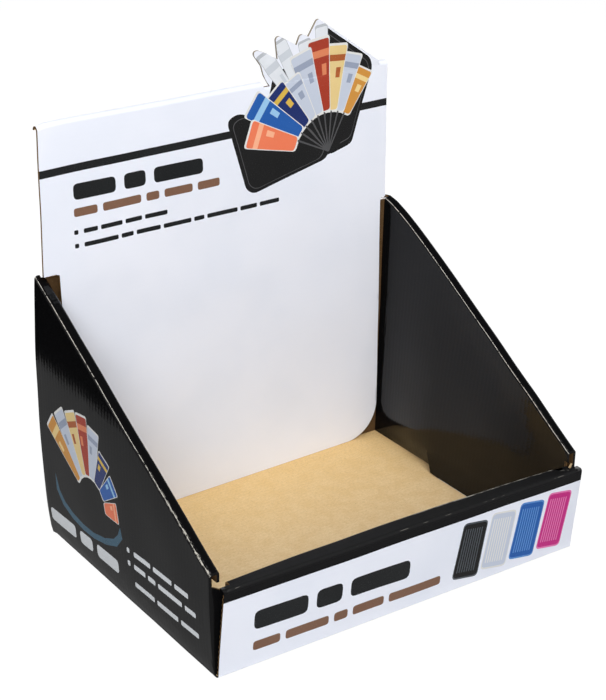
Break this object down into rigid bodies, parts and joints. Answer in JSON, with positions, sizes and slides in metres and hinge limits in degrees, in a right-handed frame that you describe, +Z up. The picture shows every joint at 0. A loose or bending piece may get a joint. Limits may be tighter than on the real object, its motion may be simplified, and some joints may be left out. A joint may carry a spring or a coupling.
{
  "type": "counter display stand",
  "caption": "Folded corrugated card counter tray with turned-over walls, sloping sides and a tall fold-over header with a stepped raised outline.",
  "frame": {"origin": "middle of the tray's underside, on the surface that the stand rests on", "axes": "+X to the viewer's right, +Y to the back, +Z up; the low front wall faces -Y"},
  "size_m": [0.2505, 0.1949, 0.2864],
  "materials": {
    "card": "thin corrugated card, glossy black and white print outside, plain brown liner inside"
  },
  "bodies": {
    "root": {"display_stand": "card"}
  },
  "joints": []
}
